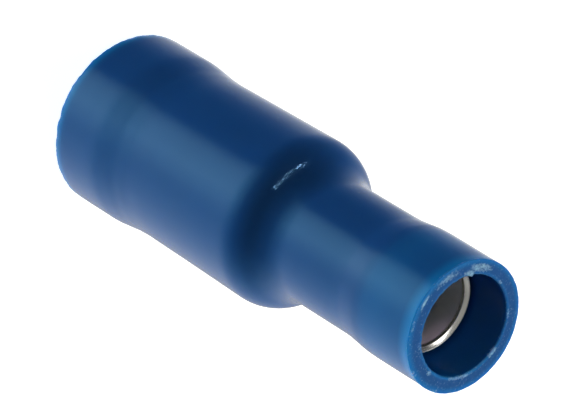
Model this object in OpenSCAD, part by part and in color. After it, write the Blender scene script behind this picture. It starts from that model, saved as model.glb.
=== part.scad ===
// Insulated round crimp socket: a sprung receptacle for a bullet pin, in a moulded sleeve.
// It stands on its socket mouth. +Z runs along the axis, up to the mouth where the wire goes in.
// Every tube is drawn as a middle line of straight runs joined by S-bends, with its wall laid on both sides.

/* [Insulating sleeve] */
// Wall of the sleeve, the same from end to end
sleeve_wall = 0.65; // [0.5:0.05:0.8]
// How much narrower the body is at its waist, next to the socket bell, on the radius
body_draft = 0.1; // [0:0.01:0.14]
// How far the socket bell stands out from the waist, on the radius
socket_bell_step = 0.195; // [0.1:0.005:0.5]
// Straight length of the socket bell
socket_bell_len = 2.35; // [1.5:0.05:3]
// Length over which the socket bell narrows to the body
socket_flare_len = 2.4; // [1.5:0.05:3.5]
// Share of the socket flare that bends in from the bell, where the rest bends out to the body
socket_flare_share = 0.3; // [0.2:0.05:0.8]
// Length of the body round the socket
body_len = 6.5; // [5:0.1:9]
// Length of the rounded shoulder between body and neck
shoulder_len = 2.75; // [2.45:0.05:3.3]
// Radius of the hollow where the shoulder runs into the neck, outside
shoulder_hollow = 2.3; // [1.5:0.05:2.7]
// Length of the neck that is crimped
neck_len = 3.1; // [2:0.05:6]
// Length over which the neck widens to the wire bell
wire_flare_len = 2.1; // [0.8:0.05:2.5]
// Straight length of the wire bell, outside
wire_bell_len = 3; // [2.2:0.05:4.5]
// Straight depth of the wire bell, inside
wire_bell_depth = 1.95; // [1:0.05:2.2]
// Rounding of the cut rims
rim_round = 0.08; // [0.02:0.01:0.15]

/* [Receptacle] */
// Thickness of the brass sheet
sheet = 0.4; // [0.3:0.02:0.45]
// Rounding of the sheet's edges
sheet_round = 0.06; // [0.02:0.01:0.12]
// Inside diameter of the rolled socket
socket_id = 5.1; // [4.9:0.05:5.3]
// How far the socket mouth sits inside the sleeve
socket_recess = 2.45; // [1.5:0.05:3]
// How far the lead-in widens the socket mouth, on the radius
lead_in = 0.1; // [0.02:0.02:0.16]
// Length of the lead-in
lead_in_len = 1; // [0.6:0.1:1.4]
// How far the retaining bead stands into the socket, on the radius
bead_depth = 0.1; // [0.04:0.02:0.2]
// Length of the bead along the socket
bead_len = 1.6; // [1:0.1:2.4]
// Distance from the socket mouth to the middle of the bead
bead_at = 3.4; // [2.6:0.1:4.5]
// Width of the open seam that lets the socket spring
seam_gap = 0.5; // [0.2:0.05:0.9]
// Length over which the socket necks down to the crimp barrel
neck_down_len = 1.9; // [1.6:0.05:2.4]
// Inside diameter of the crimp barrel
barrel_id = 2.6; // [2.2:0.05:2.8]
// Straight length of the crimp barrel
barrel_len = 4.4; // [3.4:0.1:5.5]
// Width of the butt seam along the barrel
butt_gap = 0.06; // [0.04:0.01:0.12]
// Number of V-grooves round the inside of the barrel, which bite the strands
groove_count = 3; // [1:1:4]
// Width of a V-groove
groove_w = 0.4; // [0.2:0.05:0.5]
// Depth of a V-groove
groove_depth = 0.12; // [0.04:0.02:0.16]

/* [Grip sleeve] */
// Wall of the seamless grip sleeve
grip_wall = 0.34; // [0.25:0.01:0.45]
// Depth of the grip sleeve's end below the wire mouth
grip_recess = 2.05; // [1.2:0.05:3]
// Rounding of the grip sleeve's entry, inside
grip_entry_round = 0.22; // [0.1:0.02:0.24]
// Rounding of its other edges
grip_edge_round = 0.08; // [0.02:0.01:0.1]

/* [Fits] */
// Room left round the grip sleeve's end inside the wire bell, on the radius
wire_bell_room = 0.19; // [0.1:0.01:0.4]
// Gap left round each pressed fit, on the radius
press_gap = 0.02; // [0.01:0.01:0.04]
// Gap where the socket's shoulder seats under the sleeve's shoulder
seat_gap = 0.02; // [0.01:0.01:0.05]
// Room round the socket to spring open, on the radius
spring_gap = 0.2; // [0.15:0.01:0.3]

/* [Hidden] */
$fn = 96;
// Degrees in one step of a bend and of a rim, and the distance under which two points are one
arc_step = 7;
rim_step = 30;
same_point = 0.0001;

// Middle radii of the receptacle's wall
socket_r = (socket_id + sheet) / 2;
barrel_r = (barrel_id + sheet) / 2;
barrel_or = barrel_r + sheet / 2;

// Grip sleeve, pressed over the barrel
grip_ir = barrel_or + press_gap;
grip_or = grip_ir + grip_wall;

// Middle radii of the insulating sleeve's wall
body_r = socket_r + (sheet + sleeve_wall) / 2 + spring_gap;
waist_r = body_r - body_draft;
socket_bell_r = waist_r + socket_bell_step;
neck_r = grip_or + press_gap + sleeve_wall / 2;
wire_bell_r = grip_or + wire_bell_room + sleeve_wall / 2;

// Heights of the insulating sleeve's runs
body_z = socket_bell_len + socket_flare_len;
shoulder_z = body_z + body_len;
neck_z = shoulder_z + shoulder_len;
wire_flare_z = neck_z + neck_len;
wire_bell_z = wire_flare_z + wire_flare_len;
sleeve_len = wire_bell_z + wire_bell_len;

// The shoulder's two bends: the hollow one at the neck, and the body's share of both radii together
hollow_r = shoulder_hollow + sleeve_wall / 2;
round_share = 1 - hollow_r / bend_radii(shoulder_len, body_r - neck_r);

// The socket's round shoulder bears on the round inner edge of the sleeve's neck, one bend against the other
sleeve_bend_r = hollow_r + sleeve_wall / 2;
socket_bend_r = bend_radii(neck_down_len, socket_r - barrel_r) / 2 + sheet / 2;
seat_reach = sleeve_bend_r + socket_bend_r + seat_gap;
seat_across = (neck_r - sleeve_wall / 2 + sleeve_bend_r) - (socket_r + sheet / 2 - socket_bend_r);
neck_down_z = neck_z - sqrt(seat_reach ^ 2 - seat_across ^ 2);
barrel_z = neck_down_z + neck_down_len;
barrel_top_z = barrel_z + barrel_len;
grip_top_z = sleeve_len - grip_recess;

// Radii of the two arcs that make an S-bend, added together
function bend_radii(rise, step) = (rise ^ 2 + step ^ 2) / (2 * abs(step));

// Points on a circle, from one angle to another
function arc(centre, r, from, to, step = arc_step) =
    let (steps = max(2, ceil(abs(to - from) / step)))
    [for (i = [0 : steps]) let (a = from + (to - from) * i / steps) centre + r * [cos(a), sin(a)]];

// One face of an S-bend from p to q, offset to the outside by the distance off
// The arc at p has that share of the two radii
function s_bend(p, q, share, off) =
    let (
        step = q[0] - p[0],
        rise = q[1] - p[1],
        a = share * bend_radii(rise, step),
        b = (1 - share) * bend_radii(rise, step),
        turn = 2 * atan(abs(step) / rise)
    )
    step > 0
        ? concat(arc(p + [a, 0], a - off, 180, 180 - turn), arc(q - [b, 0], b + off, -turn, 0))
        : concat(arc(p - [a, 0], a + off, 0, turn), arc(q + [b, 0], b - off, 180 + turn, 180));

// One face of a tube: runs is a list of [bottom point, top point, share] on the middle line
// A point is [radius, height], and share is the part that the first arc has in the S-bend below the run
function face(runs, off) =
    let (last = len(runs) - 1)
    concat(
        [runs[0][0] + [off, 0]],
        [for (i = [1 : 1 : last]) each s_bend(runs[i - 1][1], runs[i][0], runs[i][2], off)],
        [runs[last][1] + [off, 0]]
    );

// A straight run of the middle line, with equal arcs in the bend below it unless a share is given
function run(r, z0, z1, share = 0.5) = [[r, z0], [r, z1], share];

// Points without those that only repeat the one before
function distinct(points) = [
    for (i = [0 : len(points) - 1]) if (i == 0 || norm(points[i] - points[i - 1]) > same_point) points[i]
];

// A closed tube section from its outer and inner face, both listed upwards
// rounds gives the corners of the rims: bottom outer, top outer, top inner, bottom inner
module tube_section(outer, inner, rounds) {
    top = len(outer) - 1;
    inner_top = len(inner) - 1;
    polygon(distinct(concat(
        arc(outer[0] + rounds[0] * [-1, 1], rounds[0], -90, 0, rim_step),
        [for (i = [1 : 1 : top - 1]) outer[i]],
        arc(outer[top] - rounds[1] * [1, 1], rounds[1], 0, 90, rim_step),
        arc(inner[inner_top] + rounds[2] * [1, -1], rounds[2], 90, 180, rim_step),
        [for (i = [1 : 1 : inner_top - 1]) inner[inner_top - i]],
        arc(inner[0] + rounds[3] * [1, 1], rounds[3], 180, 270, rim_step)
    )));
}

// Moulded vinyl sleeve: socket bell, body, shoulder, neck and wire bell in one piece
module insulating_sleeve() {
    lower_runs = [
        run(socket_bell_r, 0, socket_bell_len),
        [[waist_r, body_z], [body_r, shoulder_z], socket_flare_share],
        run(neck_r, neck_z, wire_flare_z, round_share)
    ];
    outer_bell = run(wire_bell_r, wire_bell_z, sleeve_len);
    inner_bell = run(wire_bell_r, sleeve_len - wire_bell_depth, sleeve_len);
    color("#1d4f91") rotate_extrude() tube_section(
        face([each lower_runs, outer_bell], sleeve_wall / 2),
        face([each lower_runs, inner_bell], -sleeve_wall / 2),
        rim_round * [1, 1, 1, 1]
    );
}

// Slit with a round upper end, from the axis outwards through one side of a rolled tube
module slit(width, z0, z1) {
    reach = socket_r + lead_in + sheet;
    translate([0, -width / 2, z0]) cube([reach, width, z1 - z0 - width / 2]);
    translate([0, 0, z1 - width / 2]) rotate([0, 90, 0]) cylinder(d = width, h = reach);
}

// V-grooves, evenly spaced along the barrel
module barrel_grooves() {
    pitch = barrel_len / (groove_count + 1);
    for (i = [1 : groove_count])
        translate([0, 0, barrel_z + i * pitch]) rotate_extrude() polygon([
            [0, -groove_w / 2],
            [barrel_id / 2, -groove_w / 2],
            [barrel_id / 2 + groove_depth, 0],
            [barrel_id / 2, groove_w / 2],
            [0, groove_w / 2]
        ]);
}

// Rolled and tin-plated brass: sprung socket with its bead, necked down to the crimp barrel
module receptacle() {
    mouth_z = socket_recess;
    bead_z = mouth_z + bead_at;
    runs = [
        run(socket_r + lead_in, mouth_z, mouth_z + lead_in_len / 2),
        run(socket_r, mouth_z + lead_in_len, bead_z - bead_len / 2),
        run(socket_r - bead_depth, bead_z, bead_z),
        run(socket_r, bead_z + bead_len / 2, neck_down_z),
        run(barrel_r, barrel_z, barrel_top_z)
    ];
    color("#b9b8b2") difference() {
        rotate_extrude() tube_section(face(runs, sheet / 2), face(runs, -sheet / 2), sheet_round * [1, 1, 1, 1]);
        slit(seam_gap, 0, neck_down_z + neck_down_len / 2);
        slit(butt_gap, neck_down_z, sleeve_len);
        barrel_grooves();
    }
}

// Seamless tin-plated sleeve over the barrel, open above it to hold the wire's insulation
module grip_sleeve() {
    runs = [run(grip_ir + grip_wall / 2, barrel_z, grip_top_z)];
    edge = grip_edge_round;
    color("#c9c9c6") rotate_extrude() tube_section(
        face(runs, grip_wall / 2), face(runs, -grip_wall / 2), [edge, edge, grip_entry_round, edge]
    );
}

insulating_sleeve();
receptacle();
grip_sleeve();
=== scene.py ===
"""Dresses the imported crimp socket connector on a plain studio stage.

The connector is a moulded vinyl sleeve, a receptacle rolled from sheet, and a grip sleeve drawn from tube.
"""

import math

import bmesh
import bpy
import numpy as np
from bpy.props import FloatProperty, FloatVectorProperty, IntProperty, PointerProperty
from mathutils import Matrix, Quaternion, Vector, noise


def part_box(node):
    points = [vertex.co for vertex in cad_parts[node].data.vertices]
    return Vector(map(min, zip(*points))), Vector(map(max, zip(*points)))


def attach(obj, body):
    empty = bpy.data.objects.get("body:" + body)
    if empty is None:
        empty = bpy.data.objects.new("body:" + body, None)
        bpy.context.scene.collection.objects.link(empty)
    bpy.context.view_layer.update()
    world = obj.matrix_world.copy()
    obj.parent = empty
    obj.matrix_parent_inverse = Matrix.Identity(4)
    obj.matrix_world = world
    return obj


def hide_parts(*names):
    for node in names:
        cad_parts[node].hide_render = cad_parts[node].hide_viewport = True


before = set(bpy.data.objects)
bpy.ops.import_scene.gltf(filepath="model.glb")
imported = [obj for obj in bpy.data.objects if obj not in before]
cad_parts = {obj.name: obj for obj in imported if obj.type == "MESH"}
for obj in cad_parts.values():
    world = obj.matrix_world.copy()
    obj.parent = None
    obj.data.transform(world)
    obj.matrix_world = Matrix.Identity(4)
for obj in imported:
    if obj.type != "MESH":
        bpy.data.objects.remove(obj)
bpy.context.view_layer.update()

bl_info = {
    "name": "Crimp socket connector",
    "version": (1, 0, 0),
    "blender": (4, 5, 0),
    "location": "View3D > Sidebar > Crimp socket",
    "description": "Dresses the packed crimp socket connector and sets up its studio",
    "category": "Object",
}

MM = 0.001
MICRON = 1e-6
BODY = "root"
SLEEVE_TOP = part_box("insulating_sleeve")[1].z

# The photograph's frame, and the pixel where the middle of the wire mouth lies in it
FRAME_PX = (572, 419)
MOUTH_PX = (464.0, 326.6)

# Sockets of a Mix node that mixes colours, where names alone would find those that mix numbers
COLOUR_A = 6
COLOUR_B = 7
MIXED = 2


def linear(code):
    """Linear RGB of an sRGB hex colour."""
    parts = [int(code[i:i + 2], 16) / 255 for i in (1, 3, 5)]
    return tuple(c / 12.92 if c <= 0.04045 else ((c + 0.055) / 1.055) ** 2.4 for c in parts)


def colour(name, description, code):
    """A colour property with an sRGB hex default."""
    return FloatVectorProperty(
        name=name, description=description, subtype="COLOR", size=3, min=0, max=1, default=linear(code)
    )


def length(name, description, millimetres):
    """A length property with its default in millimetres."""
    return FloatProperty(
        name=name, description=description, unit="LENGTH", subtype="DISTANCE", precision=5,
        default=millimetres * MM
    )


def angle_of(name, description, degrees):
    """An angle property with its default in degrees."""
    return FloatProperty(name=name, description=description, subtype="ANGLE", default=math.radians(degrees))


def level(name, description, default):
    """A light's level property, where 1 shows a colour that faces the light as it is written."""
    return FloatProperty(name=name, description=description, default=default, min=0)


def columns(default):
    """A property for how finely a mesh is divided round the axis."""
    return IntProperty(
        name="Segments", description="Columns of the mesh round the axis", default=default, min=32
    )


class SleeveSettings(bpy.types.PropertyGroup):
    """Moulded vinyl sleeve."""

    moulded: colour("Moulded colour", "Colour of the moulded skin", "#225aa1")
    # Painted light: a lighter blue that stands in for light coming through thin vinyl, laid on by the edge
    # mask
    edge: colour("Edge colour", "Colour of thin vinyl, where light comes through it", "#1a89d5")
    fleck: colour("Fleck colour", "Colour of vinyl whitened where the knife tore it", "#a6d4ee")
    gloss: colour("Gloss colour", "Tint that pigment close under the skin gives its gloss", "#8eebff")
    spacing: length("Spacing", "Distance between rings of the mesh along the wall", 0.22)
    segments: columns(288)
    lip: length("Lip", "How far the knife rolled the wire rim outwards", 0.03)
    lip_height: length("Lip height", "How far down the wall the rolled lip reaches", 0.36)
    off_centre: length("Off centre", "How far off centre the wire bore lies, with one side thicker", 0.045)
    wave: length("Waviness", "Slow unevenness of the moulded wall", 0.012)
    oval: length("Out of round", "How far the wire mouth is pressed out of round", 0.03)
    ragged: length("Ragged cut", "Depth of the torn notches along the cut rims", 0.03)
    burr: length("Burr", "How far shreds of torn vinyl stand into the wire mouth", 0.14)


class MetalSettings(bpy.types.PropertyGroup):
    """Tin-plated receptacle and grip sleeve."""

    sheet: colour("Sheet colour", "Tin plate on the rolled sheet", "#bdbbb4")
    tube: colour("Tube colour", "Bright tin on the drawn tube", "#efeee6")
    spacing: length("Spacing", "Distance between rings of the receptacle's mesh along the wall", 0.12)
    segments: columns(160)
    entry_flare: length("Entry flare", "How much wider the grip sleeve's bore is at its end", 0.16)
    entry_length: length("Entry length", "How far into the bore the flare reaches", 1.2)
    dish_slope: FloatProperty(
        name="Dish slope", description="Fall of the grip sleeve's end, at its outer edge", default=0.36
    )
    dish_bend: length("Dish bend", "Length over which the fall of the dished end grows by two", 1.3)


class StageSettings(bpy.types.PropertyGroup):
    """Studio, lamps and camera."""

    floor: colour("Floor colour", "White paper that the part stands on", "#d2d2d0")
    table_level: level("Light table, front", "Light through the paper on the camera's side", 0.37)
    left_table_level: level("Light table, left", "Light through the paper on the picture's left", 0.51)
    right_table_level: level("Light table, right", "Light through the paper on the picture's right", 1.08)
    left_level: level("Left softbox", "Light from the left of the picture", 0.9)
    back_level: level("Back softbox", "Light from behind and above, on the cut face", 0.65)
    strip_level: level("Strip lamp", "Thin lamp that draws a streak on the shoulder", 0.7)
    strip_tint: colour("Strip tint", "Cool light of the strip lamp", "#fbd8fd")
    overhead_level: level("Overhead lamp", "Lamp that the grip sleeve's end mirrors", 0.16)
    ceiling_level: level("Ceiling", "Pale ceiling straight above, which only the gloss shows", 0.3)
    fill_level: level("Fill", "Even light from all round", 0.115)
    elevation: angle_of("Elevation", "Camera's height above the horizon", 43)
    roll: angle_of("Roll", "Camera's turn about its line of sight", 121.66)
    reach: length("Reach", "Distance from the camera to the wire mouth, along the line of sight", 199.3)
    lens: FloatProperty(name="Lens", description="Focal length on a 36 mm sensor", default=316.1, min=10)


def add(tree, kind, inputs=None, **settings):
    """Adds a node, sets its attributes, and fills or links its inputs."""
    node = tree.nodes.new(kind)
    for key, value in settings.items():
        setattr(node, key, value)
    for key, value in (inputs or {}).items():
        if isinstance(value, bpy.types.NodeSocket):
            tree.links.new(value, node.inputs[key])
        else:
            node.inputs[key].default_value = value
    return node


def new_material(name):
    """An empty node material and its tree."""
    material = bpy.data.materials.new(name)
    material.use_nodes = True
    material.node_tree.nodes.clear()
    return material, material.node_tree


def per_metre(millimetres):
    """Texture scale that gives a pattern of that size."""
    return 1 / (millimetres * MM)


def rgba(rgb, share=1):
    """A colour property as four numbers, darkened to a share of itself."""
    return (*(c * share for c in rgb), 1)


def moulded_vinyl(settings):
    """Moulded soft vinyl, knife-cut at both ends.

    The skin is a satin gloss with a faint orange peel from the mould. The cut is matt, and painted light
    makes its thin edges lighter where light would come through them. Vinyl that was torn rather than cut has
    turned whitish.
    """
    material, tree = new_material("Moulded blue vinyl")
    place = add(tree, "ShaderNodeTexCoord").outputs["Object"]
    cut = add(tree, "ShaderNodeAttribute", attribute_name="cut").outputs["Fac"]
    # Painted light: how much of the lighter edge colour stands in for light coming through thin vinyl
    edge = add(tree, "ShaderNodeAttribute", attribute_name="edge").outputs["Fac"]
    torn = add(tree, "ShaderNodeAttribute", attribute_name="torn").outputs["Fac"]

    # Pigment is mixed a little unevenly, over a few millimetres
    mottle = add(tree, "ShaderNodeTexNoise", {"Vector": place, "Scale": per_metre(3.0), "Detail": 3.0})
    skin = add(tree, "ShaderNodeMix", {
        "Factor": mottle.outputs["Fac"],
        COLOUR_A: rgba(settings.moulded, share=0.88),
        COLOUR_B: rgba(settings.moulded),
    }, data_type="RGBA")
    # Painted light on the thin edges, the cut face, the bell and the foot, where light would come through
    # the vinyl
    body = add(tree, "ShaderNodeMix", {
        "Factor": edge, COLOUR_A: skin.outputs[MIXED], COLOUR_B: rgba(settings.edge)
    }, data_type="RGBA")

    # Whitened shreds, each about a tenth of a millimetre across, thick in the torn stretches of the rims
    shreds = add(tree, "ShaderNodeTexNoise", {
        "Vector": place, "Scale": per_metre(0.11), "Detail": 4.0, "Roughness": 0.75
    })
    shred_level = add(tree, "ShaderNodeMath", {0: shreds.outputs["Fac"], 1: torn}, operation="ADD")
    flecks = add(tree, "ShaderNodeMapRange", {
        "Value": shred_level.outputs[0], "From Min": 0.95, "From Max": 1.30
    })

    # Dust: a pale speck about a tenth of a millimetre across, in every third cell of two millimetres
    cells = add(tree, "ShaderNodeTexVoronoi", {"Vector": place, "Scale": per_metre(2.0)})
    speck = add(tree, "ShaderNodeMapRange", {
        "Value": cells.outputs["Distance"], "From Min": 0.034, "From Max": 0.02
    })
    cell_draw = add(tree, "ShaderNodeSeparateColor", {"Color": cells.outputs["Color"]})
    dusty = add(tree, "ShaderNodeMath", {0: cell_draw.outputs["Red"], 1: 0.66}, operation="GREATER_THAN")
    dust = add(tree, "ShaderNodeMath", {
        0: speck.outputs["Result"], 1: dusty.outputs[0]
    }, operation="MULTIPLY")
    pale = add(tree, "ShaderNodeMath", {
        0: flecks.outputs["Result"], 1: dust.outputs[0]
    }, operation="MAXIMUM")
    base = add(tree, "ShaderNodeMix", {
        "Factor": pale.outputs[0], COLOUR_A: body.outputs[MIXED], COLOUR_B: rgba(settings.fleck)
    }, data_type="RGBA")

    # Orange peel of the mould, a tenth of a millimetre from crest to crest
    peel = add(tree, "ShaderNodeTexNoise", {"Vector": place, "Scale": per_metre(0.1), "Detail": 2.0})
    relief = add(tree, "ShaderNodeMath", {0: peel.outputs["Fac"], 1: pale.outputs[0]}, operation="ADD")
    bump = add(tree, "ShaderNodeBump", {
        "Height": relief.outputs[0], "Strength": 0.35, "Distance": 0.01 * MM
    })
    # The skin is smooth and the cut is rough
    roughness = add(tree, "ShaderNodeMapRange", {"Value": cut, "To Min": 0.08, "To Max": 0.55})

    vinyl = add(tree, "ShaderNodeBsdfPrincipled", {
        "Base Color": base.outputs[MIXED],
        "Roughness": roughness.outputs["Result"],
        "IOR": 1.54,
        "Specular Tint": rgba(settings.gloss),
        "Subsurface Weight": 0.3,
        "Subsurface Radius": (0.08, 0.4, 1.0),
        "Subsurface Scale": 0.4 * MM,
        "Normal": bump.outputs["Normal"],
    })
    add(tree, "ShaderNodeOutputMaterial", {"Surface": vinyl.outputs["BSDF"]})
    return material


def tin_plate(name, tint, roughness, grain_mm):
    """Electro-tinned metal: a soft silver sheen, with faint lines along the axis from rolling or drawing.

    The lines are drawn wider than real ones, which are too fine to show. Where a point's burnish is 1, as on
    a rim that a tool has rubbed, the metal is three times as smooth.
    """
    material, tree = new_material(name)
    place = add(tree, "ShaderNodeTexCoord").outputs["Object"]
    # A line is 25 times as long as it is wide
    stretch = add(tree, "ShaderNodeMapping", {"Vector": place, "Scale": (1, 1, 0.04)})
    lines = add(tree, "ShaderNodeTexNoise", {
        "Vector": stretch.outputs["Vector"], "Scale": per_metre(grain_mm), "Detail": 3.0
    })
    # The tin has dulled in patches of about a millimetre
    bloom = add(tree, "ShaderNodeTexNoise", {"Vector": place, "Scale": per_metre(1.2), "Detail": 2.0})
    base = add(tree, "ShaderNodeMix", {
        "Factor": bloom.outputs["Fac"], COLOUR_A: rgba(tint), COLOUR_B: rgba(tint, share=0.82)
    }, data_type="RGBA")
    burnish = add(tree, "ShaderNodeAttribute", attribute_name="burnish").outputs["Fac"]
    rubbed = add(tree, "ShaderNodeMapRange", {
        "Value": burnish, "To Min": roughness, "To Max": roughness / 3
    })
    sheen = add(tree, "ShaderNodeMapRange", {
        "Value": lines.outputs["Fac"], "To Min": 0.75, "To Max": 1.25
    })
    rough = add(tree, "ShaderNodeMath", {
        0: rubbed.outputs["Result"], 1: sheen.outputs["Result"]
    }, operation="MULTIPLY")
    bump = add(tree, "ShaderNodeBump", {
        "Height": lines.outputs["Fac"], "Strength": 0.15, "Distance": 0.01 * MM
    })
    plate = add(tree, "ShaderNodeBsdfPrincipled", {
        "Base Color": base.outputs[MIXED],
        "Metallic": 1.0,
        "Roughness": rough.outputs[0],
        "Normal": bump.outputs["Normal"],
    })
    add(tree, "ShaderNodeOutputMaterial", {"Surface": plate.outputs["BSDF"]})
    return material


# Points of the CAD this close in height, in microns, lie on one ring
SAME_RING = 2


def section_of(node):
    """Outer and inner face of a turned CAD node, each as rows of (radius, height) from the bottom up."""
    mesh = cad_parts[node].data
    points = np.array([v.co for v in mesh.vertices])
    radii = np.hypot(points[:, 0], points[:, 1])
    lean = np.zeros(len(points))
    # The receptacle's seam is on the +X side, and its sheared edges belong to neither face
    for face in mesh.polygons:
        if face.center.x < 0:
            across = Vector((face.center.x, face.center.y, 0)).normalized()
            lean[list(face.vertices)] += face.normal.dot(across) * face.area
    faces = []
    for side in (1, -1):
        chosen = lean * side > 0
        heights_radii = zip(points[chosen, 2], radii[chosen])
        rows = {(round(z / MICRON), round(r / MICRON)) for z, r in heights_radii}
        rings = []
        for z, r in sorted(rows):
            if not rings or z - rings[-1][1] > SAME_RING:
                rings.append((r, z))
        faces.append(np.array(rings) * MICRON)
    return faces


def smooth_line(points, spacing):
    """A finer line through the points, bent as evenly as they are, with samples at most a spacing apart."""
    gaps = np.linalg.norm(np.diff(points, axis=0), axis=1)
    slopes = np.diff(points, axis=0) / gaps[:, None]
    tangents = np.empty_like(points)
    tangents[0], tangents[-1] = slopes[0], slopes[-1]
    blend = gaps[:-1, None] + gaps[1:, None]
    tangents[1:-1] = (slopes[:-1] * gaps[:-1, None] + slopes[1:] * gaps[1:, None]) / blend
    line = [points[:1]]
    for i, gap in enumerate(gaps):
        count = max(1, math.ceil(gap / spacing))
        t = np.arange(1, count + 1)[:, None] / count
        start, end = points[i], points[i + 1]
        pull_out, pull_in = tangents[i] * gap, tangents[i + 1] * gap
        line.append(
            (2 * t ** 3 - 3 * t ** 2 + 1) * start + (t ** 3 - 2 * t ** 2 + t) * pull_out
            + (3 * t ** 2 - 2 * t ** 3) * end + (t ** 3 - t ** 2) * pull_in
        )
    return np.concatenate(line)


def walls_of(node, spacing):
    """Outer and inner face of a turned CAD node as fine lines."""
    return [smooth_line(face, spacing) for face in section_of(node)]


def closed_outline(outer, inner, rim_rings):
    """Closed section of a tube: up the outer face, over the top rim, down the inner face, over the foot."""
    across = np.linspace(0, 1, rim_rings + 2)[1:-1, None]
    top_rim = outer[-1] + (inner[-1] - outer[-1]) * across
    foot_rim = inner[0] + (outer[0] - inner[0]) * across
    return np.concatenate([outer, top_rim, inner[::-1], foot_rim])


def full_turn(count):
    """Angles of the columns of a mesh that closes round the axis."""
    return np.linspace(0, 2 * math.pi, count, endpoint=False)


def spun(outline, angles):
    """Radius, height and angle of every point of an outline turned through the angles."""
    radius = np.repeat(outline[:, 0], len(angles))
    height = np.repeat(outline[:, 1], len(angles))
    return radius, height, np.tile(angles, len(outline))


def on_axis(radius, height, angle):
    """Points round the part's axis."""
    return np.stack([radius * np.cos(angle), radius * np.sin(angle), height], axis=1)


def grid_faces(rings, count, closed):
    """Quads of a grid of so many columns, closed from ring to ring, and from column to column if asked."""
    last = count if closed else count - 1
    ring, column = np.meshgrid(np.arange(rings), np.arange(last), indexing="ij")
    ring, column = ring.ravel(), column.ravel()
    next_ring, next_column = (ring + 1) % rings, (column + 1) % count
    return np.stack([
        ring * count + column,
        ring * count + next_column,
        next_ring * count + next_column,
        next_ring * count + column,
    ], axis=1)


def new_piece(name, points, faces, material):
    """A smooth-shaded mesh object in the row frame."""
    mesh = bpy.data.meshes.new(name)
    mesh.from_pydata(points.tolist(), [], faces.tolist())
    mesh.validate()
    mesh.shade_smooth()
    mesh.materials.append(material)
    piece = bpy.data.objects.new(name, mesh)
    bpy.context.collection.objects.link(piece)
    return piece


def point_values(piece, name, values):
    """Keeps one number per point, which the material reads by name."""
    layer = piece.data.attributes.new(name, "FLOAT", "POINT")
    layer.data.foreach_set("value", np.asarray(values, dtype=np.float32))


def seat(piece, node):
    """Lets a piece stand for its CAD node, on the part's one body."""
    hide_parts(node)
    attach(piece, BODY)


def fade(values, start, end):
    """Smooth step from 1 at start to 0 at end."""
    t = np.clip((values - start) / (end - start), 0, 1)
    return 1 - t * t * (3 - 2 * t)


def towards(angle, heading):
    """1 at a heading in degrees on the part, falling to 0 on the side away from it."""
    return (1 + np.cos(angle - math.radians(heading))) / 2


# How far apart the noises of two seeds lie
SEED_STEP = (17.3, 5.1, 9.7)


def noise_at(points, lumps):
    """Smooth noise about zero, as the sum of rows that give a lump's size, a seed and a strength."""
    total = np.zeros(len(points))
    for size, seed, strength in lumps:
        offset = Vector([seed * step for step in SEED_STEP])
        total += strength * np.array([noise.noise(Vector(p) / size + offset) for p in points])
    return total


# A rim's rounding in the CAD, up to this height, is left out where a knife or a tool leaves a sharp edge
SHARP_EDGE = 0.09 * MM

# Headings on the part, in degrees: where the knife came out of the wire mouth, which has the thickest wall
# and the rolled lip, and the side where the painted light inside the wire bore is strongest, as if most
# light came through the wall there
THICK_SIDE_DEG = 312
PAINTED_LIT_SIDE_DEG = 30

# Painted light that stands in for light coming through the vinyl at the lip, the edge of the bore, the cut
# face, the bell and the foot: how much at most, and where it is still whole and where it has gone, as a
# depth below the wire rim, as a share of the wall from one face, or as a reach from the outer edge of the
# foot
LIP_DEPTH = (0.1 * MM, 0.9 * MM)
LIP_SHARE = (0.02, 0.16)
LIP_PAINTED_LIGHT_ON_THIN_SIDE = 0.45
BORE_EDGE_PAINTED_LIGHT = 0.3
BORE_EDGE_DEPTH = (0.05 * MM, 0.2 * MM)
BORE_EDGE_SHARE = (0.02, 0.14)
FACE_PAINTED_LIGHT = 0.6
FACE_DEPTH = (0.02 * MM, 0.1 * MM)
FACE_SHARE = (0.08, 0.5)
BELL_PAINTED_LIGHT = 0.4
BELL_DEPTH = (2.0 * MM, 4.5 * MM)
FOOT_PAINTED_LIGHT = 0.9
FOOT_REACH = (0.1 * MM, 0.6 * MM)

# The painted light on the wire bell's outside loses this share towards the lip, over this depth
BELL_PAINTED_LIGHT_LOSS = 0.4
BELL_PAINTED_LIGHT_LOSS_DEPTH = (1.0 * MM, 3.4 * MM)
# Distance from the middle of the wall, as a share of it, that tells its two skins from the cut face between
SKIN_SHARE = (0.52, 0.45)

# Depths from a rim over which the matt cut, the tears, the notches and the shreds fade out, the share of the
# wall from the bore over which the shreds do, and the depth below which the rolled lip does
CUT_DEPTH = (0.02 * MM, 0.12 * MM)
TORN_DEPTH = (0.1 * MM, 0.3 * MM)
TORN_FOOT_DEPTH = (0.05 * MM, 0.2 * MM)
NOTCH_DEPTH = (0.02 * MM, 0.16 * MM)
SHRED_DEPTH = (0.06 * MM, 0.2 * MM)
SHRED_SHARE = (0.04, 0.2)
LIP_TOP = 0.05 * MM

# Depths below the wire rim over which the bore comes back to the centre, and the wall to round
OFF_CENTRE_DEPTH = (0.2 * MM, 1.9 * MM)
OVAL_DEPTH = (0, 6 * MM)
# Which way the mouth is pressed out of round, in radians
OVAL_TURN = 2.2
# Heights over which the wall at the foot comes free to swell outwards
FOOT_HEIGHT = (2 * MM, 4 * MM)

# Lumps of the uneven wall and of the tears: size, seed and strength
WALL_LUMPS = ((4.5 * MM, 1, 0.95), (1.3 * MM, 2, 0.05))
TEAR_LUMPS = ((0.3 * MM, 3, 1.0), (0.14 * MM, 4, 0.7))

# How badly a rim is torn between the tears listed below, at the wire end and at the foot, how badly it is
# torn where shreds begin to stand out, and how much worse where they are whole
TORN_ALL_ROUND = 0.38
TORN_FOOT = 0.35
SHRED_FROM = 0.42
SHRED_WHOLE = 0.2

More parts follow.
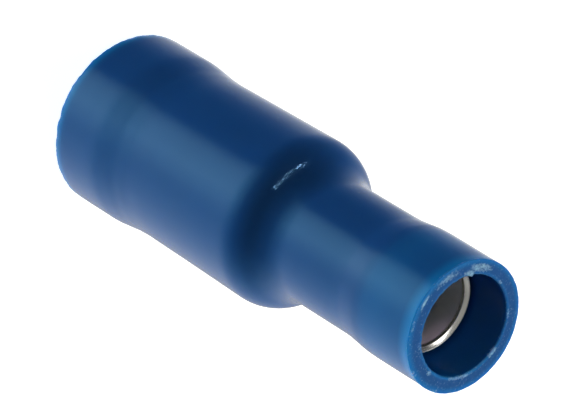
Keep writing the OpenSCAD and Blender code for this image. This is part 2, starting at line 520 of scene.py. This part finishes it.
# Notches as shares of the ragged depth: along the radius, in from the outside at the wire end and at the
# foot, and out from the bore; along the axis, down from the wire rim and up from the foot
NOTCH_WIRE_END = 0.35
NOTCH_FOOT = 1
NOTCH_INSIDE = -1
NOTCH_DOWN = -0.4
NOTCH_UP = 1.2

# Where the knife tore the wire rim: heading and half width in degrees, place across the wall from inside (0)
# to outside (1) and half width there, and how badly
TEARS = (
    (203, 19, 0.38, 0.42, 0.64),
    (216, 9, 0.10, 0.25, 0.68),
    (241, 19, 0.55, 0.40, 0.58),
    (270, 9, 0.72, 0.14, 0.72),
    (292, 9, 0.85, 0.20, 0.52),
    (318, 10, 0.10, 0.20, 0.52),
    (338, 5, 0.95, 0.25, 0.56),
    (352, 4, 0.10, 0.30, 0.66),
    (10, 9, 0.90, 0.20, 0.51),
    (38, 24, 0.00, 0.18, 0.64),
    (83, 9, 0.00, 0.25, 0.68),
    (125, 12, 0.00, 0.15, 0.56),
    (168, 5, 0.00, 0.15, 0.61),
)
# A tear is whole up to this share of its half width, and gone at that one
TEAR_FADE = (0.2, 1.7)


class SleeveOperator(bpy.types.Operator):
    """Make the insulating sleeve as moulded and cut vinyl"""

    bl_idname = "crimp_socket.sleeve"
    bl_label = "Insulating sleeve"

    def execute(self, context):
        settings = context.scene.crimp_sleeve
        outer, inner = walls_of("insulating_sleeve", settings.spacing)
        # The knife leaves the outer edge of the wire rim sharp, where the CAD rounds it a little
        knife_edge = outer[:, 1] > SLEEVE_TOP - SHARP_EDGE
        outer[knife_edge, 0] = outer[knife_edge, 0].max()
        outline = closed_outline(outer, inner, rim_rings=14)
        angles = full_turn(settings.segments)
        radius, height, angle = spun(outline, angles)
        true_points = on_axis(radius, height, angle)
        from_top = SLEEVE_TOP - height
        near_rim = np.minimum(from_top, height)
        share = (radius - inner[-1, 0]) / (outer[-1, 0] - inner[-1, 0])
        outside = np.repeat(np.arange(len(outline)) < len(outer), len(angles))

        # The material reads these by name: the cut faces, the painted light where light would come through
        # the edges, and the tears
        cut = fade(near_rim, *CUT_DEPTH)
        edge = self.painted_through_light(from_top, share, angle, outside)
        # Painted light along the outer edge of the foot, where light would come through the thin vinyl
        painted_foot_light = fade(np.hypot(radius - outer[0, 0], height), *FOOT_REACH)
        torn = fade(from_top, *TORN_DEPTH) * self.tear_depth(np.degrees(angle), share)

        # Rolled lip at the wire mouth, a bore off centre in it, and a mouth pressed a little out of round
        thick_side = towards(angle, THICK_SIDE_DEG)
        rolled = fade(from_top, LIP_TOP, settings.lip_height) * outside
        radius = radius + settings.lip * thick_side * rolled
        inwards = fade(from_top, *OFF_CENTRE_DEPTH) * (1 - np.clip(share, 0, 1))
        radius = radius - 2 * settings.off_centre * thick_side * inwards
        radius = radius + settings.oval * fade(from_top, *OVAL_DEPTH) * np.cos(2 * angle - OVAL_TURN)

        # Moulded wall, never quite true; at the foot it only falls short, so that the widest size holds
        wave = noise_at(true_points, WALL_LUMPS)
        radius = radius + settings.wave * (wave - fade(height, *FOOT_HEIGHT))

        # Torn notches along both cut rims, and shreds that stand into the wire mouth
        rim = fade(near_rim, *NOTCH_DEPTH)
        tear = np.clip(noise_at(true_points, TEAR_LUMPS), -1, 1)
        at_top = height > SLEEVE_TOP / 2
        depth = np.where(outside, np.where(at_top, NOTCH_WIRE_END, NOTCH_FOOT), NOTCH_INSIDE)
        radius = radius + settings.ragged * rim * (tear - 1) * 0.5 * depth
        height = height + np.where(at_top, NOTCH_DOWN, NOTCH_UP) * settings.ragged * rim * (1 - tear)
        loose = np.clip(torn - SHRED_FROM, 0, SHRED_WHOLE) / SHRED_WHOLE
        shred = loose * np.clip(tear, 0, 1) * fade(share, *SHRED_SHARE)
        radius = radius - settings.burr * shred * fade(from_top, *SHRED_DEPTH)

        points = on_axis(radius, height, angle)
        faces = grid_faces(len(outline), len(angles), closed=True)
        piece = new_piece("insulating_sleeve_vinyl", points, faces, moulded_vinyl(settings))
        point_values(piece, "cut", cut)
        point_values(piece, "edge", np.maximum(edge, FOOT_PAINTED_LIGHT * painted_foot_light))
        point_values(piece, "torn", np.maximum(torn, TORN_FOOT * fade(height, *TORN_FOOT_DEPTH)))
        seat(piece, "insulating_sleeve")
        return {"FINISHED"}

    @staticmethod
    def painted_through_light(from_top, share, angle, outside):
        """Painted light as if lit through the wire end: lip, edge of the bore, cut face and thin bell."""
        lip = LIP_PAINTED_LIGHT_ON_THIN_SIDE + (1 - LIP_PAINTED_LIGHT_ON_THIN_SIDE) * towards(angle, THICK_SIDE_DEG)
        lip = fade(from_top, *LIP_DEPTH) * fade(1 - share, *LIP_SHARE) * lip
        painted_bore_edge_light = BORE_EDGE_PAINTED_LIGHT * fade(from_top, *BORE_EDGE_DEPTH) * fade(share, *BORE_EDGE_SHARE)
        face = FACE_PAINTED_LIGHT * fade(from_top, *FACE_DEPTH) * fade(1 - share, *FACE_SHARE)
        bell_outside = 1 - BELL_PAINTED_LIGHT_LOSS * fade(from_top, *BELL_PAINTED_LIGHT_LOSS_DEPTH)
        # Painted light inside the bell, strongest on the side of the lit heading
        bell_inside = 2 * towards(angle, PAINTED_LIT_SIDE_DEG) ** 2
        bell = BELL_PAINTED_LIGHT * fade(from_top, *BELL_DEPTH) * np.where(outside, bell_outside, bell_inside)
        bell = bell * fade(np.abs(share - 0.5), *SKIN_SHARE)
        return np.maximum.reduce([lip, painted_bore_edge_light, face, bell])

    @staticmethod
    def tear_depth(degrees, share):
        """How badly the wire rim is torn, with a little all round."""
        depth = np.full(len(share), TORN_ALL_ROUND)
        whole, gone = TEAR_FADE
        for heading, half_width, place, half_share, badly in TEARS:
            turn = np.abs((degrees - heading + 180) % 360 - 180)
            along = fade(turn, half_width * whole, half_width * gone)
            across = fade(np.abs(share - place), half_share * whole, half_share * gone)
            depth = np.maximum(depth, badly * along * across)
        return depth


class ReceptacleOperator(bpy.types.Operator):
    """Make the receptacle as one rolled and tinned sheet with its seam"""

    bl_idname = "crimp_socket.receptacle"
    bl_label = "Receptacle"

    def execute(self, context):
        settings = context.scene.crimp_metal
        outer, inner = walls_of("receptacle", settings.spacing)
        outline = closed_outline(outer, inner, rim_rings=2)
        start = np.arcsin(self.half_gap(outline[:, 1]) / outline[:, 0])[:, None]
        turn = np.linspace(0, 1, settings.segments)
        angle = (start + (2 * math.pi - 2 * start) * turn).ravel()
        radius, height, _ = spun(outline, turn)
        points = on_axis(radius, height, angle)
        faces = grid_faces(len(outline), settings.segments, closed=False)
        plate = tin_plate("Electro-tinned brass sheet", settings.sheet, roughness=0.28, grain_mm=0.12)
        piece = new_piece("receptacle_rolled_sheet", points, faces, plate)
        self.close_edges(piece.data)
        piece.data.set_sharp_from_angle(angle=math.radians(40))
        seat(piece, "receptacle")
        return {"FINISHED"}

    @staticmethod
    def half_gap(heights):
        """Half the seam's width at each height, as in the CAD node: open along the socket, butted above."""
        nearest = {}
        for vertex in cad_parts["receptacle"].data.vertices:
            x, y, z = vertex.co
            if x > 0:
                row = round(z, 7)
                nearest[row] = min(nearest.get(row, math.inf), abs(y))
        rows = sorted(nearest)
        return np.interp(heights, rows, [nearest[row] for row in rows])

    @staticmethod
    def close_edges(mesh):
        """Fills the two sheared edges that face each other across the seam."""
        work = bmesh.new()
        work.from_mesh(mesh)
        open_edges = [edge for edge in work.edges if edge.is_boundary]
        bmesh.ops.triangle_fill(work, edges=open_edges, use_beauty=True)
        bmesh.ops.recalc_face_normals(work, faces=work.faces)
        work.to_mesh(mesh)
        work.free()


# Distance between rings of the grip sleeve's mesh, close enough for its dished end
GRIP_SPACING = 0.04 * MM
# Height of the end that the tool dished, and the depth below it over which its rubbed shine fades
DISHED_END = 0.3 * MM
BURNISH_DEPTH = (0.2 * MM, 0.3 * MM)


class GripOperator(bpy.types.Operator):
    """Make the seamless grip sleeve"""

    bl_idname = "crimp_socket.grip"
    bl_label = "Grip sleeve"

    def execute(self, context):
        settings = context.scene.crimp_metal
        outer, inner = walls_of("grip_sleeve", GRIP_SPACING)
        square_end = outer[:, 1] > outer[-1, 1] - SHARP_EDGE
        outer[square_end, 0] = outer[:, 0].max()
        outline = closed_outline(outer, inner, rim_rings=5)
        angles = full_turn(settings.segments)
        radius, height, angle = spun(outline, angles)

        # The entry is flared to guide the wire, and the tool left the end dished towards it
        end = height.max()
        flare = inner[:, 0].min() + settings.entry_flare * (1 - (end - height) / settings.entry_length)
        radius = np.maximum(radius, flare)
        inwards = np.clip(radius[height == end].max() - radius, 0, None)
        dish = end - inwards * (settings.dish_slope + inwards / settings.dish_bend)
        height = np.where(height > end - DISHED_END, np.minimum(height, dish), height)

        points = on_axis(radius, height, angle)
        faces = grid_faces(len(outline), len(angles), closed=True)
        plate = tin_plate("Bright-tinned drawn tube", settings.tube, roughness=0.55, grain_mm=0.08)
        piece = new_piece("grip_sleeve_tube", points, faces, plate)
        piece.data.set_sharp_from_angle(angle=math.radians(30))
        point_values(piece, "burnish", fade(end - height, *BURNISH_DEPTH))
        seat(piece, "grip_sleeve")
        return {"FINISHED"}


# Half the side of the floor, and the distance of the lamps from the middle of the part
FLOOR_HALF = 0.6
LAMP_DISTANCE = 0.3
# What the floor adds to its lit paper where the camera sees it, so that it reads as white
FLOOR_GLOW = 0.93

# Lamps that the gloss doesn't show: heading, elevation, width and height, and the setting for the level
SOFT_LAMPS = (
    ("left softbox", -128, -14, (0.2, 0.2), "left_level"),
    ("back softbox", 180, 60, (0.2, 0.15), "back_level"),
    ("light table, front", 0, -45, (0.2, 0.15), "table_level"),
    ("light table, left", -50, -45, (0.2, 0.15), "left_table_level"),
    ("light table, right", 128, -30, (0.2, 0.15), "right_table_level"),
)
# Lamps that only the gloss shows, in the same form, and how far the strip lamp is turned in its plane
STRIP_LAMP = ("strip lamp", 53, 34.6, (0.28, 0.026), "strip_level")
STRIP_TURN_DEG = 16
OVERHEAD_LAMP = ("overhead lamp", 70, 62, (0.18, 0.12), "overhead_level")

# What the gloss shows of the studio, by heading in degrees from the camera's side towards -X: the white
# paper with a dark cloth on one side, as seen looking down on it
PAPER = (
    (-180, 0.55), (-166, 0.45), (-150, 0.66), (-130, 0.78), (-110, 0.82), (-90, 0.79), (-70, 0.67),
    (-50, 0.61), (-38, 0.74), (-30, 1.00), (-10, 1.59), (8, 1.36), (20, 1.04), (29, 0.50), (35, 0.08),
    (40, 0.01), (80, 0.01), (92, 0.03), (110, 0.13), (130, 0.40), (150, 0.62), (168, 0.90), (180, 0.55),
)
# The light backdrop behind, as seen looking level
BACKDROP = (
    (-180, 0.50), (-148, 0.62), (-128, 0.74), (-108, 0.68), (-88, 0.40), (-68, 0.12), (-48, 0.05),
    (-28, 0.06), (-8, 0.11), (8, 0.11), (28, 0.05), (48, 0.04), (90, 0.04), (108, 0.05), (128, 0.10),
    (148, 0.28), (180, 0.50),
)
# The dark upper wall with its lamp behind, as seen looking up, below the pale ceiling straight above
UPPER_WALL = (
    (-180, 0.50), (-160, 0.55), (-148, 0.60), (-128, 0.50), (-108, 0.35), (-88, 0.20), (-68, 0.11),
    (-48, 0.08), (125, 0.08), (140, 0.10), (150, 0.35), (158, 0.90), (180, 0.50),
)
# Sines of the angle from level: looking down, where only the paper shows; looking up, where only the upper
# wall shows; and where the pale ceiling begins and is whole
PAPER_SINE = 0.68
UPPER_WALL_SINE = 0.5
CEILING_SINES = (0.8, 0.93)

# The camera's sensor in millimetres, and the nearest and furthest distance that it shows
SENSOR_WIDTH = 36
CLIP = (0.01, 10)


def bearing(heading, elevation):
    """Direction by degrees from the camera's side towards -X, and degrees above the horizon."""
    turn, rise = math.radians(heading), math.radians(elevation)
    return Vector((-math.sin(turn) * math.cos(rise), -math.cos(turn) * math.cos(rise), math.sin(rise)))


def softbox(settings, name, heading, elevation, size, level_name):
    """A lamp that faces the object, with a level of 1 showing a colour that faces it as it is written."""
    direction = bearing(heading, elevation)
    data = bpy.data.lights.new(name, "AREA")
    data.shape = "RECTANGLE"
    data.size, data.size_y = size
    data.energy = getattr(settings, level_name) * (math.pi * LAMP_DISTANCE) ** 2
    item = bpy.data.objects.new(name, data)
    item.location = Vector((0, 0, SLEEVE_TOP / 2)) + direction * LAMP_DISTANCE
    item.rotation_mode = "QUATERNION"
    item.rotation_quaternion = direction.to_track_quat("Z", "Y")
    item.visible_glossy = False
    bpy.context.collection.objects.link(item)
    return item


def paper_sweep(settings):
    """White paper sweep: matt, and bright enough where it is seen to read as white, with the shadow kept."""
    material, tree = new_material("White paper sweep")
    path = add(tree, "ShaderNodeLightPath").outputs
    matt = add(tree, "ShaderNodeBsdfDiffuse", {"Color": rgba(settings.floor)})
    glow = add(tree, "ShaderNodeMath", {0: path["Is Camera Ray"], 1: FLOOR_GLOW}, operation="MULTIPLY")
    light = add(tree, "ShaderNodeEmission", {"Strength": glow.outputs[0]})
    both = add(tree, "ShaderNodeAddShader", {0: matt.outputs[0], 1: light.outputs[0]})
    add(tree, "ShaderNodeOutputMaterial", {"Surface": both.outputs[0]})
    return material


class StageOperator(bpy.types.Operator):
    """Set up the floor, the lamps, the surroundings and the camera"""

    bl_idname = "crimp_socket.stage"
    bl_label = "Stage"

    def execute(self, context):
        settings = context.scene.crimp_stage
        half = FLOOR_HALF
        corners = np.array([(-half, -half, 0), (half, -half, 0), (half, half, 0), (-half, half, 0)])
        floor = new_piece("floor", corners, np.array([(0, 1, 2, 3)]), paper_sweep(settings))
        floor.visible_glossy = floor.visible_diffuse = floor.visible_shadow = False
        self.surroundings(context.scene, settings)
        self.lamps(settings)
        self.camera(context.scene, settings)
        context.scene.view_settings.view_transform = "Standard"
        return {"FINISHED"}

    @staticmethod
    def lamps(settings):
        """Softboxes that light the part, and two lamps that it mirrors."""
        for lamp in SOFT_LAMPS:
            softbox(settings, *lamp)
        strip = softbox(settings, *STRIP_LAMP)
        strip.data.shape = "ELLIPSE"
        strip.data.color = settings.strip_tint
        strip.rotation_quaternion @= Quaternion((0, 0, 1), math.radians(STRIP_TURN_DEG))
        overhead = softbox(settings, *OVERHEAD_LAMP)
        for lamp in (strip, overhead):
            lamp.visible_diffuse = False
            lamp.visible_glossy = True

    @staticmethod
    def surroundings(scene, settings):
        """White to the camera, the studio's lights and darks to the gloss, and a low even fill elsewhere."""
        world = bpy.data.worlds.new("Studio surroundings")
        world.use_nodes = True
        tree = world.node_tree
        tree.nodes.clear()
        direction = add(tree, "ShaderNodeTexCoord").outputs["Generated"]
        backwards = add(tree, "ShaderNodeVectorMath", {0: direction, "Scale": -1.0}, operation="SCALE")
        axes = add(tree, "ShaderNodeSeparateXYZ", {"Vector": backwards.outputs[0]}).outputs
        turn = add(tree, "ShaderNodeMath", {0: axes["X"], 1: axes["Y"]}, operation="ARCTAN2")
        round_share = add(tree, "ShaderNodeMapRange", {
            "Value": turn.outputs[0], "From Min": -math.pi, "From Max": math.pi
        })
        seen = []
        for rows in (PAPER, BACKDROP, UPPER_WALL):
            ramp = add(tree, "ShaderNodeValToRGB", {"Fac": round_share.outputs["Result"]})
            while len(ramp.color_ramp.elements) < len(rows):
                ramp.color_ramp.elements.new(1.0)
            for element, (heading, light) in zip(ramp.color_ramp.elements, rows):
                element.position = heading / 360 + 0.5
                element.color = (light, light, light, 1)
            seen.append(ramp.outputs["Color"])
        paper, backdrop, upper_wall = seen
        looking_down = add(tree, "ShaderNodeMapRange", {
            "Value": axes["Z"], "From Min": 0.0, "From Max": PAPER_SINE
        })
        looking_up = add(tree, "ShaderNodeMapRange", {
            "Value": axes["Z"], "From Min": 0.0, "From Max": -UPPER_WALL_SINE
        })
        straight_up = add(tree, "ShaderNodeMapRange", {
            "Value": axes["Z"], "From Min": -CEILING_SINES[0], "From Max": -CEILING_SINES[1]
        })
        sweep = add(tree, "ShaderNodeMix", {
            "Factor": looking_down.outputs["Result"], COLOUR_A: backdrop, COLOUR_B: paper
        }, data_type="RGBA")
        studio = add(tree, "ShaderNodeMix", {
            "Factor": looking_up.outputs["Result"], COLOUR_A: sweep.outputs[MIXED], COLOUR_B: upper_wall
        }, data_type="RGBA")
        room = add(tree, "ShaderNodeMix", {
            "Factor": straight_up.outputs["Result"],
            COLOUR_A: studio.outputs[MIXED],
            COLOUR_B: rgba((settings.ceiling_level,) * 3),
        }, data_type="RGBA")
        path = add(tree, "ShaderNodeLightPath").outputs
        mirrored = add(tree, "ShaderNodeMath", {
            0: path["Is Glossy Ray"], 1: path["Is Transmission Ray"]
        }, operation="MAXIMUM")
        low = add(tree, "ShaderNodeMix", {
            "Factor": mirrored.outputs[0], "A": settings.fill_level, "B": room.outputs[MIXED]
        })
        strength = add(tree, "ShaderNodeMix", {
            "Factor": path["Is Camera Ray"], "A": low.outputs["Result"], "B": 1.0
        })
        background = add(tree, "ShaderNodeBackground", {
            "Color": (1, 1, 1, 1), "Strength": strength.outputs["Result"]
        })
        add(tree, "ShaderNodeOutputWorld", {"Surface": background.outputs[0]})
        scene.world = world

    @staticmethod
    def camera(scene, settings):
        """Looks down at the wire mouth from the photograph's angle, rolled so that the axis slopes down."""
        data = bpy.data.cameras.new("camera")
        data.sensor_width = SENSOR_WIDTH
        data.lens = settings.lens
        data.clip_start, data.clip_end = CLIP
        item = bpy.data.objects.new("camera", data)
        scene.collection.objects.link(item)
        tilt = Matrix.Rotation(math.pi / 2 - settings.elevation, 3, "X")
        turn = tilt @ Matrix.Rotation(settings.roll, 3, "Z")
        metres_per_px = settings.reach * data.sensor_width / data.lens / FRAME_PX[0]
        offset = Vector((
            (MOUTH_PX[0] - FRAME_PX[0] / 2) * metres_per_px,
            (FRAME_PX[1] / 2 - MOUTH_PX[1]) * metres_per_px,
            -settings.reach,
        ))
        item.rotation_mode = "QUATERNION"
        item.rotation_quaternion = turn.to_quaternion()
        item.location = Vector((0, 0, SLEEVE_TOP)) - turn @ offset
        scene.camera = item


class CrimpSocketPanel(bpy.types.Panel):
    """Sizes, colours and steps of the connector"""

    bl_idname = "VIEW3D_PT_crimp_socket"
    bl_label = "Crimp socket"
    bl_space_type = "VIEW_3D"
    bl_region_type = "UI"
    bl_category = "Crimp socket"

    def draw(self, context):
        for operator, group in STEPS:
            box = self.layout.box()
            box.operator(operator.bl_idname)
            settings = getattr(context.scene, group)
            for name in settings.bl_rna.properties.keys():
                if name not in ("rna_type", "name"):
                    box.prop(settings, name)


GROUPS = {"crimp_sleeve": SleeveSettings, "crimp_metal": MetalSettings, "crimp_stage": StageSettings}
STEPS = (
    (SleeveOperator, "crimp_sleeve"),
    (ReceptacleOperator, "crimp_metal"),
    (GripOperator, "crimp_metal"),
    (StageOperator, "crimp_stage"),
)


def register():
    """Registers the settings, the operators and the panel."""
    for name, group in GROUPS.items():
        bpy.utils.register_class(group)
        setattr(bpy.types.Scene, name, PointerProperty(type=group))
    for operator, _ in STEPS:
        bpy.utils.register_class(operator)
    bpy.utils.register_class(CrimpSocketPanel)


def unregister():
    """Takes back what register added."""
    bpy.utils.unregister_class(CrimpSocketPanel)
    for operator, _ in reversed(STEPS):
        bpy.utils.unregister_class(operator)
    for name, group in reversed(GROUPS.items()):
        delattr(bpy.types.Scene, name)
        bpy.utils.unregister_class(group)


def main():
    """Makes every piece and the stage."""
    register()
    bpy.ops.crimp_socket.sleeve()
    bpy.ops.crimp_socket.receptacle()
    bpy.ops.crimp_socket.grip()
    bpy.ops.crimp_socket.stage()


if __name__ == "__main__":
    main()
